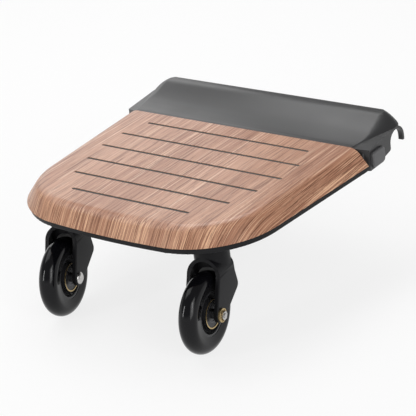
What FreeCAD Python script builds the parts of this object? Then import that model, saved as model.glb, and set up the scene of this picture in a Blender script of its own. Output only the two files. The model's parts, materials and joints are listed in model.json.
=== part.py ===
"""Buggy board: a standing board on two casters that hooks onto a stroller's rear axle tube.

The frame is +X to the rider's right, +Y towards the stroller and +Z up, in millimetres.
The origin is on the floor, under the middle of the whole board.
"""
import FreeCAD
import Part
import Sketcher

import math
import operator
import os
from types import SimpleNamespace

from FreeCAD import Vector

DIMENSIONS = {
    # Clearances and cutting allowance
    "running_clearance": 0.05,
    "moving_gap": 0.3,
    "cut_overrun": 2.0,
    # Deck panel: outline at the foot of its skirt
    "deck_length": 281.0,
    "deck_front": 173.0,
    "deck_rear_width": 389.0,
    "deck_taper": 4.0,
    "front_bow": 1100.0,
    "corner_radius": 106.0,
    "deck_depth": 21.5,
    "skirt_lean": 38.0,
    "deck_edge_radius": 20.0,
    "deck_wall": 3.5,
    "deck_over_axle": 112.3,
    # Grip strips across the deck
    "slot_rear_margin": 28.5,
    "slot_front_margin": 55.5,
    "slot_width": 4.2,
    "slot_depth": 2.0,
    "strip_thickness": 1.5,
    # Base tray
    "tray_depth": 8.5,
    "tray_inset": 2.5,
    "tray_wall": 3.0,
    "rib_thickness": 2.4,
    "rim_edge_radius": 2.0,
    "stem_inset": 81.9,
    "stem_setback": 60.25,
    "socket_radius": 24.0,
    "socket_drop": 3.0,
    "tower_radius": 13.0,
    "tower_rise": 12.5,
    # Rear housing
    "housing_inset": 3.0,
    "housing_depth": 32.0,
    "housing_wall": 3.0,
    "ramp_run": 69.4,
    "ramp_rise": 16.0,
    "crest_drop": 0.3,
    "crest_radius": 4.0,
    "crest_roll": 20.0,
    "rear_lip_drop": 4.0,
    "rear_lip_setback": 1.0,
    "cavity_past_seat": 8.0,
    "end_plate": 6.5,
    "ledge_width": 21.0,
    "ledge_front_drop": 5.4,
    "ridge_lean": 5.5,
    "ridge_lift": 0.5,
    "shoulder_front_drop": 0.3,
    "shoulder_rear_rise": 0.6,
    "crest_end_inset": 5.0,
    "crest_end_drop": 1.5,
    "corner_setback": 8.0,
    "corner_cut": 17.5,
    # Seat for the stroller's axle tube
    "seat_setback": 71.0,
    "seat_drop": 16.5,
    "seat_radius": 14.4,
    "channel_clearance": 2.1,
    "finger_thickness": 3.6,
    "finger_drop": 6.0,
    "toe_rise": 7.4,
    "toe_run": 17.0,
    "toe_chamfer": 2.0,
    "toe_step": 3.0,
    # Release button
    "button_width": 27.0,
    "button_height": 20.4,
    "button_setback": 24.0,
    "button_drop": 19.0,
    "button_corner": 5.0,
    "button_gap": 0.6,
    "button_proud": 4.2,
    "button_travel": 4.0,
    "button_rounding": 2.0,
    "flange_margin": 1.3,
    "flange_thickness": 1.6,
    "plunger_width": 15.0,
    "plunger_height": 10.0,
    "plunger_reach": 13.0,
    # Latch slide, its spring and its cover
    "pocket_drop": 8.0,
    "pocket_width": 19.8,
    "partition_wall": 7.2,
    "cover_thickness": 1.3,
    "latch_width": 10.0,
    "latch_thickness": 4.0,
    "latch_travel": 6.0,
    "latch_front_gap": 1.2,
    "latch_nose_height": 8.0,
    "latch_lip": 2.4,
    "tube_gap": 0.1,
    "spring_radius": 2.4,
    "spring_wire": 0.9,
    "spring_pocket": 9.5,
    "spring_play": 0.35,
    "spring_offset": 4.2,
    # Screws
    "screw_radius": 1.75,
    "screw_grip": 10.0,
    "screw_head_radius": 3.6,
    "screw_head_height": 2.2,
    "screw_boss_radius": 4.5,
    "cover_screw_radius": 1.1,
    "cover_screw_head_radius": 1.8,
    "cover_screw_head_height": 1.2,
    "cover_screw_length": 7.0,
    "cover_boss_radius": 3.0,
    "cover_boss_bite": 0.3,
    # Casters
    "wheel_diameter": 100.0,
    "wheel_width": 23.7,
    "tyre_bore": 56.0,
    "tyre_foot_width": 20.4,
    "hub_rim_wall": 3.0,
    "hub_rim_width": 19.6,
    "hub_boss_radius": 18.0,
    "hub_boss_width": 22.0,
    "spoke_thickness": 2.8,
    "spoke_width": 9.0,
    "spoke_bite": 1.0,
    "hub_ring_width": 1.5,
    "hub_ring_thickness": 0.8,
    "bearing_radius": 11.0,
    "bearing_width": 7.0,
    "bearing_groove": 0.6,
    "bearing_race": 1.8,
    "race_gap": 0.1,
    "spacer_radius": 6.0,
    "trail": 33.5,
    "left_swivel": 13.5,
    "right_swivel": 8.1,
    "fork_gap": 34.0,
    "fork_width": 45.0,
    "crown_radius": 21.5,
    "arch_rise": 11.0,
    "arch_wall": 4.0,
    "arch_depth": 22.0,
    "wheel_gap": 4.0,
    "fork_end_radius": 10.5,
    "fork_end_shift": 1.5,
    "fork_front_lean": 20.0,
    "fork_rear_lean": 33.0,
    "fork_rear_reach": 9.5,
    "fork_front_top": 12.4,
    "fork_front_knee": 9.6,
    "fork_front_knee_drop": 15.0,
    "cheek_rounding": 1.6,
    "thrust_thickness": 1.5,
    "thrust_radius": 15.0,
    "stem_radius": 5.0,
    "stem_seat": 18.0,
    "bush_radius": 7.5,
    "clip_radius": 8.0,
    "clip_thickness": 1.0,
    "clip_groove": 0.8,
    "stem_tip": 1.6,
    "axle_radius": 4.0,
    "axle_thread_radius": 3.0,
    "bolt_head_radius": 7.5,
    "bolt_head_height": 4.2,
    "bolt_head_edge": 1.0,
    "cup_radius": 8.5,
    "cup_thickness": 1.2,
    "cup_lip": 0.9,
    "nut_flats": 10.0,
    "nut_height": 3.6,
    "thread_tip": 1.0,
}

SLOT_LENGTH_SHARES = (0.655, 0.721, 0.727, 0.685, 0.623, 0.467)
DECK_SCREW_SHARES = ((0.31, 0.267), (0.67, 0.548), (0.67, 0.829))
HOUSING_SCREW_SHARES = ((0.31, 0.37), (0.67, 0.37))
CROSS_RIB_SHARES = (0.40, 0.68, 0.95)
FRONT_RIB_SHARES = (0.10, 0.42)
RIB_PITCH_SHARE = 0.113
RIB_MARGIN_SHARE = 1.3
DECK_SIDE_SHARE = 1.6
SHOULDER_RUN_SHARES = (0.25, 0.5, 0.75, 1.0)
SHOULDER_BEND_SHARE = 1.5
PLUNGER_REAR_SHARE = 0.55
WEDGE_SHARE = 0.8
FORK_BULGE_SHARES = ((0.05, 1.25), (0.43, 2.05), (0.1, 3.6))
FORK_BULGE_BEND_SHARE = 0.8
MATCH_TOLERANCE = 0.01
SPOKE_COUNT = 6
SPRING_TURNS = 6
SPRING_WIRE_SIDES = 8
RIB_COUNT = 5
SIDES = {"left": -1, "right": 1}
OPERATIONS = {"+": operator.add, "-": operator.sub, "*": operator.mul, "/": operator.truediv}

doc = FreeCAD.newDocument("buggy_board")
sheet = doc.addObject("Spreadsheet::Sheet", "Sizes")


class Size:
    """A number kept together with the sheet formula that gives it."""

    def __init__(self, value, text):
        self.value = value
        self.text = text

    def __add__(self, other):
        return joined(self, "+", other)

    def __radd__(self, other):
        return joined(other, "+", self)

    def __sub__(self, other):
        return joined(self, "-", other)

    def __rsub__(self, other):
        return joined(other, "-", self)

    def __mul__(self, other):
        return joined(self, "*", other)

    def __rmul__(self, other):
        return joined(other, "*", self)

    def __truediv__(self, other):
        return joined(self, "/", other)

    def __neg__(self):
        return joined(self, "*", -1)


def as_size(item):
    return item if isinstance(item, Size) else Size(float(item), "(%r)" % float(item))


def joined(first, sign, second):
    first = as_size(first)
    second = as_size(second)
    value = OPERATIONS[sign](first.value, second.value)
    return Size(value, "(%s %s %s)" % (first.text, sign, second.text))


def root(size):
    return Size(math.sqrt(size.value), "sqrt(%s)" % size.text)


def sine(angle):
    return Size(math.sin(math.radians(angle.value)), "sin(%s)" % angle.text)


def cosine(angle):
    return Size(math.cos(math.radians(angle.value)), "cos(%s)" % angle.text)


def tangent(angle):
    return Size(math.tan(math.radians(angle.value)), "tan(%s)" % angle.text)


def fill_sheet():
    for row, (alias, number) in enumerate(DIMENSIONS.items(), start=1):
        cell = "A%d" % row
        sheet.set(cell, str(number))
        sheet.setAlias(cell, alias)
    doc.recompute()
    return SimpleNamespace(**{alias: Size(getattr(sheet, alias), "Sizes." + alias) for alias in DIMENSIONS})


s = fill_sheet()
ZERO = as_size(0)

# Levels and stations that several pieces share
deck_z = s.wheel_diameter / 2 + s.deck_over_axle
tray_z = deck_z - s.deck_depth
rim_z = tray_z - s.tray_depth
plate_z = tray_z - s.tray_wall
housing_z = deck_z - s.housing_depth
socket_z = rim_z - s.socket_drop
tower_z = tray_z + s.tower_rise
front_y = -s.deck_front
seam_y = s.deck_length - s.deck_front
stem_y = front_y + s.stem_setback
stem_x = s.deck_rear_width / 2 - s.stem_inset
seat_y = seam_y + s.seat_setback
seat_z = deck_z - s.seat_drop
end_x = s.deck_rear_width / 2 - s.housing_inset
plate_x = end_x - s.end_plate
channel_radius = s.seat_radius + s.channel_clearance
channel_y = seat_y - channel_radius
pocket_rear_y = channel_y - s.housing_wall
pocket_front_y = seam_y + s.housing_wall
pocket_x = plate_x - s.pocket_width
cover_z = housing_z + s.cover_thickness
arch_z = s.wheel_diameter / 2 + s.arch_rise
crown_z = socket_z - s.moving_gap - s.thrust_thickness - s.wheel_diameter / 2
ramp_radius = (s.ramp_run * s.ramp_run + s.ramp_rise * s.ramp_rise) / (s.ramp_rise * 2)
tongue_rear_y = pocket_rear_y - s.moving_gap
cavity_x = pocket_x - s.partition_wall
tongue_x = cavity_x - s.moving_gap
crest_y = seat_y + s.seat_radius + s.finger_thickness - s.rear_lip_setback


def bind(item, prop, size):
    item.setExpression(prop, as_size(size).text)


def new_body(name):
    body = doc.addObject("PartDesign::Body", name)
    body.Label = name
    return body


def sketch_on(body, name, role, level=ZERO):
    """A sketch on one of the body's own origin planes, lifted along that plane's normal."""
    plane = next(item for item in body.Origin.OriginFeatures if item.Role == role)
    sketch = body.newObject("Sketcher::SketchObject", body.Name + "_" + name)
    sketch.AttachmentSupport = (plane, [""])
    sketch.MapMode = "FlatFace"
    bind(sketch, "AttachmentOffset.Base.z", level)
    return sketch


def hold(sketch, kind, *rest):
    """Adds a constraint whose last argument is a Size, and binds it to the sheet."""
    size = as_size(rest[-1])
    value = math.radians(size.value) if kind == "Angle" else size.value
    index = sketch.addConstraint(Sketcher.Constraint(kind, *rest[:-1], value))
    sketch.setExpression("Constraints[%d]" % index, size.text)


def hold_point(sketch, edge, point, across, up):
    for kind, axis, size in (("DistanceX", -2, as_size(across)), ("DistanceY", -1, as_size(up))):
        if size.value == 0:
            sketch.addConstraint(Sketcher.Constraint("PointOnObject", edge, point, axis))
        else:
            hold(sketch, kind, edge, point, size)


def arc_between(start, end, radius):
    """The short arc from start to end, counter-clockwise when the radius is positive."""
    chord = end - start
    rise = math.sqrt(max(radius * radius - chord.Length ** 2 / 4, 0))
    left = Vector(-chord.y, chord.x, 0).normalize()
    centre = (start + end) / 2 + left * math.copysign(rise, radius)
    first, last = (start, end) if radius > 0 else (end, start)
    circle = Part.Circle(centre, Vector(0, 0, 1), abs(radius))
    angles = [math.atan2(point.y - centre.y, point.x - centre.x) for point in (first, last)]
    return Part.ArcOfCircle(circle, *angles)


def outline(sketch, corners):
    """A closed outline. A corner (across, up, radius) is reached by an arc of that radius."""
    corners = [tuple(as_size(item) for item in corner) for corner in corners]
    points = [Vector(corner[0].value, corner[1].value, 0) for corner in corners]
    edges = []
    for index, corner in enumerate(corners):
        start = points[index - 1]
        if len(corner) == 3:
            edge = sketch.addGeometry(arc_between(start, points[index], corner[2].value))
            forward = corner[2].value > 0
            edges.append((edge, 1 if forward else 2, 2 if forward else 1))
        else:
            edge = sketch.addGeometry(Part.LineSegment(start, points[index]))
            edges.append((edge, 1, 2))
    for index, (edge, start, end) in enumerate(edges):
        before = edges[index - 1]
        sketch.addConstraint(Sketcher.Constraint("Coincident", before[0], before[2], edge, start))
        hold_point(sketch, edge, end, *corners[index][:2])
        if len(corners[index]) == 3:
            radius = corners[index][2]
            hold(sketch, "Radius", edge, radius if radius.value > 0 else -radius)


def box_outline(sketch, left, right, low, high):
    outline(sketch, [(left, low), (right, low), (right, high), (left, high)])


def round_box_outline(sketch, middle, half, radius):
    """A rectangle with rounded corners, round a middle point."""
    across, up = middle
    wide, tall = half
    left, right = across - wide, across + wide
    low, high = up - tall, up + tall
    outline(sketch, [
        (right - radius, low),
        (right, low + radius, radius),
        (right, high - radius),
        (right - radius, high, radius),
        (left + radius, high),
        (left, high - radius, radius),
        (left, low + radius),
        (left + radius, low, radius),
    ])


def circles(sketch, places, radius):
    for across, up in places:
        at = Vector(as_size(across).value, as_size(up).value, 0)
        edge = sketch.addGeometry(Part.Circle(at, Vector(0, 0, 1), radius.value))
        hold_point(sketch, edge, 3, across, up)
        hold(sketch, "Radius", edge, radius)


def feature(body, kind, name, profile):
    item = body.newObject("PartDesign::" + kind, body.Name + "_" + name)
    item.Profile = profile
    return item


def settle(body, item, before, grows):
    """Recomputes and makes sure that the feature did what it was meant to do."""
    doc.recompute()
    after = body.Shape.Volume
    if "Invalid" in item.State or (after > before) != grows or math.isclose(after, before):
        raise RuntimeError("%s left %s at %.3f, from %.3f" % (item.Label, body.Label, after, before))
    return item


def volume_of(body):
    return 0.0 if body.Shape.isNull() else body.Shape.Volume


def extrude(body, kind, name, profile, length, reverse=False, middle=False, taper=None):
    before = volume_of(body)
    item = feature(body, kind, name, profile)
    bind(item, "Length", length)
    item.Reversed = reverse
    if middle:
        item.SideType = "Symmetric"
    if taper is not None:
        bind(item, "TaperAngle", taper)
    return settle(body, item, before, kind == "Pad")


def pad(body, name, profile, length, **options):
    return extrude(body, "Pad", name, profile, length, **options)


def pocket(body, name, profile, length, **options):
    return extrude(body, "Pocket", name, profile, length, **options)


def revolve(body, name, profile, axis, kind="Revolution"):
    before = volume_of(body)
    item = feature(body, kind, name, profile)
    item.ReferenceAxis = (profile, [axis])
    item.Angle = 360
    return settle(body, item, before, kind == "Revolution")


def fillet(body, name, base, radius, wanted):
    """Rounds the edges of the base feature for which wanted(edge) holds."""
    names = ["Edge%d" % number for number, edge in enumerate(base.Shape.Edges, start=1) if wanted(edge)]
    if not names:
        raise RuntimeError("no edge to round in " + name)
    item = body.newObject("PartDesign::Fillet", body.Name + "_" + name)
    item.Base = (base, names)
    bind(item, "Radius", radius)
    doc.recompute()
    if "Invalid" in item.State or not item.Shape.isValid():
        raise RuntimeError("rounding failed in " + name)
    return item


def matches(value, wanted):
    return math.isclose(value, wanted, abs_tol=MATCH_TOLERANCE)


def at_height(edge, height):
    return matches(edge.BoundBox.ZMin, height) and matches(edge.BoundBox.ZMax, height)


def before_seam(edge):
    return edge.BoundBox.YMin < (seam_y - s.cut_overrun).value


def deck_line(sketch, inset, rear_y):
    """The deck's outline in plan, moved in by inset, with straight tapering sides cut off at rear_y."""
    lean = s.deck_taper
    half = s.deck_rear_width / 2 - inset
    rear_x = half + (rear_y - seam_y) * tangent(lean)
    bow = s.front_bow - inset
    bow_y = front_y + inset + bow
    corner = s.corner_radius - inset
    turn = math.radians(lean.value)
    along = Vector(-math.sin(turn), -math.cos(turn), 0)
    inwards = Vector(-math.cos(turn), math.sin(turn), 0)
    start = Vector(rear_x.value, rear_y.value, 0)
    reach = start + inwards * corner.value - Vector(0, bow_y.value, 0)
    middle = reach.dot(along)
    distance = -middle + math.sqrt(middle ** 2 - reach.dot(reach) + (bow.value - corner.value) ** 2)
    centre = start + inwards * corner.value + along * distance
    spread = math.atan2(centre.x, bow_y.value - centre.y)
    side = centre - inwards * corner.value
    up = Vector(0, 0, 1)
    down = math.pi * 3 / 2

    def mirrored(point):
        return Vector(-point.x, point.y, 0)

    front_circle = Part.Circle(Vector(0, bow_y.value, 0), up, bow.value)
    right_circle = Part.Circle(centre, up, corner.value)
    left_circle = Part.Circle(mirrored(centre), up, corner.value)
    front = sketch.addGeometry(Part.ArcOfCircle(front_circle, down - spread, down + spread))
    right_corner = sketch.addGeometry(Part.ArcOfCircle(right_circle, down + spread, math.tau - turn))
    right = sketch.addGeometry(Part.LineSegment(side, start))
    rear = sketch.addGeometry(Part.LineSegment(start, mirrored(start)))
    left = sketch.addGeometry(Part.LineSegment(mirrored(start), mirrored(side)))
    left_corner = sketch.addGeometry(Part.ArcOfCircle(left_circle, math.pi + turn, down - spread))
    runs = ((front, right_corner), (right_corner, right), (left, left_corner), (left_corner, front))
    for first, second in runs:
        sketch.addConstraint(Sketcher.Constraint("Tangent", first, 2, second, 1))
    sketch.addConstraint(Sketcher.Constraint("Coincident", right, 2, rear, 1))
    sketch.addConstraint(Sketcher.Constraint("Coincident", rear, 2, left, 1))
    sketch.addConstraint(Sketcher.Constraint("Symmetric", rear, 1, rear, 2, -2))
    sketch.addConstraint(Sketcher.Constraint("Equal", right_corner, left_corner))
    hold_point(sketch, rear, 1, rear_x, rear_y)
    hold_point(sketch, front, 3, ZERO, bow_y)
    hold(sketch, "Radius", front, bow)
    hold(sketch, "Radius", right_corner, corner)
    hold(sketch, "Angle", right, 90 - lean)
    hold(sketch, "Angle", left, lean - 90)


def screw_places(shares, base_y, reach):
    half = s.deck_rear_width / 2
    return [(half * (side * wide_share), base_y + reach * long_share)
            for wide_share, long_share in shares for side in SIDES.values()]


deck_screws = screw_places(DECK_SCREW_SHARES, front_y, s.deck_length)
housing_screws = screw_places(HOUSING_SCREW_SHARES, seam_y, s.seat_setback)


def slot_places():
    half = s.deck_rear_width / 2
    rear = seam_y - s.slot_rear_margin
    reach = s.deck_length - s.slot_rear_margin - s.slot_front_margin
    pitch = reach / (len(SLOT_LENGTH_SHARES) - 1)
    return [(rear - pitch * row, half * share) for row, share in enumerate(SLOT_LENGTH_SHARES)]


def slot_outlines(sketch, inset):
    """Six long slots with round ends, moved in by inset."""
    radius = s.slot_width / 2 - inset
    for y, half in slot_places():
        straight = half - s.slot_width / 2
        outline(sketch, [
            (straight, y - radius),
            (straight + radius, y, radius),
            (straight, y + radius, radius),
            (-straight, y + radius),
            (-straight - radius, y, radius),
            (-straight, y - radius, radius),
        ])


def make_deck():
    body = new_body("deck_panel")
    blank = sketch_on(body, "blank", "XY_Plane", tray_z)
    deck_line(blank, ZERO, seam_y + s.deck_depth * 2)
    pad(body, "skirt", blank, s.deck_depth, taper=-s.skirt_lean)
    rear = sketch_on(body, "rear", "XY_Plane", deck_z)
    box_outline(rear, -s.deck_rear_width, s.deck_rear_width, seam_y, seam_y + s.deck_length)
    square = pocket(body, "rear_face", rear, s.deck_depth)
    soft = fillet(body, "top_edge", square, s.deck_edge_radius,
                  lambda edge: at_height(edge, deck_z.value) and before_seam(edge))
    body.Tip = soft
    hollow = sketch_on(body, "hollow", "XY_Plane", tray_z)
    deck_line(hollow, s.deck_wall * DECK_SIDE_SHARE, seam_y - s.deck_wall)
    pocket(body, "inside", hollow, s.deck_depth - s.deck_wall, reverse=True, taper=-s.skirt_lean)
    bosses = sketch_on(body, "bosses", "XY_Plane", tray_z)
    circles(bosses, deck_screws, s.screw_boss_radius)
    pad(body, "screw_bosses", bosses, s.deck_depth - s.deck_wall / 2)
    pilots = sketch_on(body, "pilots", "XY_Plane", tray_z)
    circles(pilots, deck_screws, s.screw_radius + s.running_clearance)
    pocket(body, "screw_pilots", pilots, s.screw_grip + s.cut_overrun, reverse=True)
    grooves = sketch_on(body, "grooves", "XY_Plane", deck_z)
    slot_outlines(grooves, ZERO)
    pocket(body, "strip_grooves", grooves, s.slot_depth)
    return body


def make_strips():
    body = new_body("grip_strips")
    sketch = sketch_on(body, "plan", "XY_Plane", deck_z - s.slot_depth)
    slot_outlines(sketch, s.running_clearance)
    pad(body, "strips", sketch, s.strip_thickness)
    return body


def stem_places():
    return [(stem_x * side, stem_y) for side in SIDES.values()]


def make_tray():
    body = new_body("base_tray")
    blank = sketch_on(body, "blank", "XY_Plane", rim_z)
    deck_line(blank, s.tray_inset, seam_y)
    slab = pad(body, "slab", blank, s.tray_depth)
    body.Tip = fillet(body, "rim_edge", slab, s.rim_edge_radius,
                      lambda edge: at_height(edge, rim_z.value) and before_seam(edge))
    tongue = sketch_on(body, "tongue", "XY_Plane", rim_z)
    box_outline(tongue, -tongue_x, tongue_x, seam_y - s.tray_wall, tongue_rear_y)
    pad(body, "tongue_slab", tongue, s.tray_depth)
    inside = s.tray_depth - s.tray_wall
    hollow = sketch_on(body, "hollow", "XY_Plane", rim_z)
    deck_line(hollow, s.tray_inset + s.tray_wall, seam_y - s.tray_wall)
    pocket(body, "inside", hollow, inside, reverse=True)
    bay = sketch_on(body, "bay", "XY_Plane", rim_z)
    box_outline(bay, s.tray_wall - tongue_x, tongue_x - s.tray_wall, seam_y, tongue_rear_y - s.tray_wall)
    pocket(body, "tongue_inside", bay, inside, reverse=True)
    make_ribs(body, inside)
    sockets = sketch_on(body, "sockets", "XY_Plane", socket_z)
    circles(sockets, stem_places(), s.socket_radius)
    pad(body, "caster_sockets", sockets, plate_z - socket_z)
    towers = sketch_on(body, "towers", "XY_Plane", tray_z)
    circles(towers, stem_places(), s.tower_radius)
    pad(body, "caster_towers", towers, s.tower_rise)
    bores = sketch_on(body, "bores", "XY_Plane", socket_z)
    circles(bores, stem_places(), s.bush_radius)
    pocket(body, "bush_bores", bores, tower_z - socket_z, reverse=True)
    holes = sketch_on(body, "holes", "XY_Plane", plate_z)
    circles(holes, deck_screws + housing_screws, s.screw_radius + s.moving_gap)
    pocket(body, "screw_holes", holes, s.tray_wall, reverse=True)
    return body


def make_ribs(body, inside):
    """Long ribs as a pattern, with cross ribs that stop inside the rim."""
    long_rib = sketch_on(body, "long_rib", "XY_Plane", rim_z)
    pitch = s.deck_rear_width * RIB_PITCH_SHARE
    first = -pitch * ((RIB_COUNT - 1) / 2)
    margin = (s.tray_inset + s.tray_wall) * RIB_MARGIN_SHARE
    half = s.rib_thickness / 2
    box_outline(long_rib, first - half, first + half, front_y + margin, seam_y - s.tray_wall / 2)
    rib = pad(body, "long_ribs", long_rib, inside)
    before = volume_of(body)
    rows = body.newObject("PartDesign::LinearPattern", body.Name + "_rib_rows")
    rows.Originals = [rib]
    rows.Direction = (long_rib, ["H_Axis"])
    bind(rows, "Length", pitch * (RIB_COUNT - 1))
    rows.Occurrences = RIB_COUNT
    body.Tip = rows
    settle(body, rows, before, True)
    cross = sketch_on(body, "cross_ribs", "XY_Plane", rim_z)
    reach = s.deck_rear_width / 2 - s.tray_inset - s.tray_wall / 2
    for share in CROSS_RIB_SHARES:
        y = front_y + s.deck_length * share
        wide = reach + (y - seam_y) * tangent(s.deck_taper)
        box_outline(cross, -wide, wide, y - half, y + half)
    front_share, wide_share = FRONT_RIB_SHARES
    y = front_y + s.deck_length * front_share
    box_outline(cross, -reach * wide_share, reach * wide_share, y - half, y + half)
    pad(body, "cross_rib_rows", cross, inside)


def ramp_height(run):
    """Height of the ramp above the deck, at a distance behind the seam."""
    return ramp_radius - root(ramp_radius * ramp_radius - run * run)


def housing_section(sketch):
    """The housing between its end plates, as a side view: ramp, crest, rear lip and tube channel."""
    top = deck_z + s.ramp_rise
    crest_z = top - s.crest_drop
    lip_z = deck_z - s.rear_lip_drop
    rise = lip_z - seat_z
    lip_y = seat_y + root(channel_radius * channel_radius - rise * rise)
    outline(sketch, [
        (seam_y, housing_z),
        (seam_y, deck_z),
        (seam_y + s.ramp_run, top, ramp_radius),
        (crest_y - s.crest_radius, crest_z),
        (crest_y, crest_z - s.crest_radius, -s.crest_radius),
        (crest_y, lip_z),
        (lip_y, lip_z),
        (seat_y, seat_z + channel_radius, channel_radius),
        (channel_y, seat_z, channel_radius),
        (channel_y, housing_z),
    ])


def plate_section(sketch):
    """An end plate with its hook finger, as a side view."""
    radius = s.seat_radius
    outer = radius + s.finger_thickness
    front = seat_y - radius
    top = deck_z + s.ramp_rise - s.crest_drop
    climb = deck_z - seat_z
    root_y = seat_y + root(outer * outer - climb * climb)
    tip_z = seat_z - s.finger_drop
    toe_z = housing_z + s.toe_rise
    outline(sketch, [
        (seam_y, housing_z),
        (seam_y, top),
        (root_y, top),
        (root_y, deck_z),
        (seat_y + outer, seat_z, -outer),
        (seat_y + outer, tip_z),
        (seat_y + radius, tip_z),
        (seat_y + radius, seat_z),
        (seat_y, seat_z + radius, radius),
        (front, seat_z, radius),
        (front, toe_z + s.toe_chamfer),
        (front - s.toe_chamfer, toe_z),
        (front - s.toe_run, toe_z - s.toe_step),
        (front - s.toe_run - s.toe_chamfer, housing_z),
    ])


def shoulder_section(sketch, side, run):
    """What is cut away above the rounded shoulder and the ledge, at a distance behind the seam."""
    along = run / s.ramp_run
    ridge_x = end_x - s.ledge_width - s.ridge_lean * along
    ridge_z = deck_z + ramp_height(run) + s.ridge_lift
    foot_x = end_x - s.ledge_width * (1 - along)
    foot_z = deck_z - s.shoulder_front_drop + (s.shoulder_front_drop + s.shoulder_rear_rise) * along
    outer_z = foot_z - (s.ledge_front_drop - s.shoulder_front_drop) * (1 - along)
    cut_shoulder_line(sketch, side, (ridge_x, ridge_z), (foot_x, foot_z), outer_z)


def crest_end_section(sketch, side):
    """The same at the back of the crest, where the shoulder turns in and down to the hook."""
    ridge_x = end_x - s.ledge_width - s.ridge_lean - s.crest_end_inset
    ridge_z = deck_z + s.ramp_rise - s.crest_drop - s.crest_end_drop
    foot_z = deck_z - s.rear_lip_drop
    cut_shoulder_line(sketch, side, (ridge_x, ridge_z), (plate_x, foot_z), foot_z)


def cut_shoulder_line(sketch, side, ridge, foot, outer_z):
    across = foot[0] - ridge[0]
    drop = ridge[1] - foot[1]
    bend = root(across * across + drop * drop) * SHOULDER_BEND_SHARE
    far_x = end_x + s.cut_overrun
    top = deck_z + s.ramp_rise + s.cut_overrun
    outline(sketch, [
        (ridge[0] * side, top),
        (ridge[0] * side, ridge[1]),
        (foot[0] * side, foot[1], -bend if side > 0 else bend),
        (far_x * side, outer_z),
        (far_x * side, top),
    ])


def cut_shoulder(body, name, side):
    sections = []
    for index, share in enumerate((0,) + SHOULDER_RUN_SHARES):
        run = s.ramp_run * share
        sketch = sketch_on(body, "%s_shoulder_%d" % (name, index), "XZ_Plane", -(seam_y + run))
        shoulder_section(sketch, side, run)
        sections.append(sketch)
    rear = sketch_on(body, name + "_crest_end", "XZ_Plane", -(crest_y + s.rear_lip_setback))
    crest_end_section(rear, side)
    sections.append(rear)
    before = volume_of(body)
    loft = feature(body, "SubtractiveLoft", name + "_shoulder", sections[0])
    loft.Sections = sections[1:]
    loft.Ruled = False
    settle(body, loft, before, False)


def button_middle():
    return seam_y + s.button_setback, deck_z - s.button_drop


def latch_levels():
    """Underside and top of the latch's slide, and the top of its lug."""
    low = cover_z + s.moving_gap
    slide = low + s.latch_thickness
    return low, slide, slide + s.moving_gap + s.plunger_height


def latch_span():
    """The latch's near and far sides across the board."""
    near = plate_x - s.flange_thickness - s.moving_gap - s.button_travel - s.flange_margin
    return near - s.latch_width, near


def cut_end(body, name, side):
    """The pocket for one latch, with the button's window and the slot that the latch's nose leaves by."""
    bay = sketch_on(body, name + "_bay", "XY_Plane", housing_z)
    left, right = sorted((pocket_x * side, plate_x * side), key=lambda size: size.value)
    box_outline(bay, left, right, pocket_front_y, pocket_rear_y)
    pocket(body, name + "_pocket", bay, s.housing_depth - s.pocket_drop, reverse=True)
    window = sketch_on(body, name + "_window", "YZ_Plane", plate_x * side)
    gap = s.moving_gap
    half = (s.button_width / 2 + s.button_gap, s.button_height / 2 + s.button_gap)
    round_box_outline(window, button_middle(), half, s.button_corner + s.button_gap)
    pocket(body, name + "_button_window", window, s.end_plate, reverse=side > 0)
    near, far = latch_span()
    left, right = sorted(((near - gap) * side, (far + gap) * side), key=lambda size: size.value)
    mouth = sketch_on(body, name + "_mouth", "XY_Plane", housing_z)
    box_outline(mouth, left, right, pocket_rear_y - s.cut_overrun, channel_y + s.cut_overrun)
    slot = cover_z - housing_z + s.latch_nose_height + gap * 2
    pocket(body, name + "_nose_slot", mouth, slot, reverse=True)
    corner = sketch_on(body, name + "_corner", "XY_Plane", housing_z)
    outline(corner, [
        ((end_x - s.corner_cut) * side, seam_y),
        ((end_x + s.cut_overrun) * side, seam_y - s.cut_overrun),
        ((end_x + s.cut_overrun) * side, seam_y + s.corner_setback),
        (end_x * side, seam_y + s.corner_setback),
    ])
    pocket(body, name + "_front_corner", corner, s.housing_depth + s.ramp_rise, reverse=True)


def cover_screw_places(side):
    inset = s.cover_boss_radius - s.cover_boss_bite
    x = (plate_x - inset) * side
    return [(x, pocket_front_y + inset), (x, pocket_rear_y - s.cover_boss_radius * 2)]


def all_cover_screws():
    return [place for side in SIDES.values() for place in cover_screw_places(side)]


def make_housing():
    body = new_body("rear_housing")
    side_view = sketch_on(body, "side_view", "YZ_Plane")
    housing_section(side_view)
    slope = pad(body, "ramp", side_view, plate_x * 2, middle=True)
    fillet(body, "crest", slope, s.crest_roll, lambda edge: at_height(edge, (deck_z + s.ramp_rise).value))
    for name, side in SIDES.items():
        plate = sketch_on(body, name + "_plate", "YZ_Plane", plate_x * side)
        plate_section(plate)
        pad(body, name + "_end_plate", plate, s.end_plate, reverse=side < 0)
    for name, side in SIDES.items():
        cut_shoulder(body, name, side)
    cut_middle(body)
    for name, side in SIDES.items():
        cut_end(body, name, side)
    posts = sketch_on(body, "posts", "XY_Plane", tray_z)
    circles(posts, housing_screws, s.screw_boss_radius)
    pad(body, "screw_bosses", posts, s.deck_depth)
    pilots = sketch_on(body, "pilots", "XY_Plane", tray_z)
    circles(pilots, housing_screws, s.screw_radius + s.running_clearance)
    pocket(body, "screw_pilots", pilots, s.screw_grip + s.cut_overrun, reverse=True)
    small_posts = sketch_on(body, "small_posts", "XY_Plane", cover_z)
    circles(small_posts, all_cover_screws(), s.cover_boss_radius)
    pad(body, "cover_bosses", small_posts, deck_z - s.pocket_drop - cover_z)
    small_pilots = sketch_on(body, "small_pilots", "XY_Plane", cover_z)
    circles(small_pilots, all_cover_screws(), s.cover_screw_radius + s.running_clearance)
    pocket(body, "cover_pilots", small_pilots, s.cover_screw_length, reverse=True)
    return body


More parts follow.
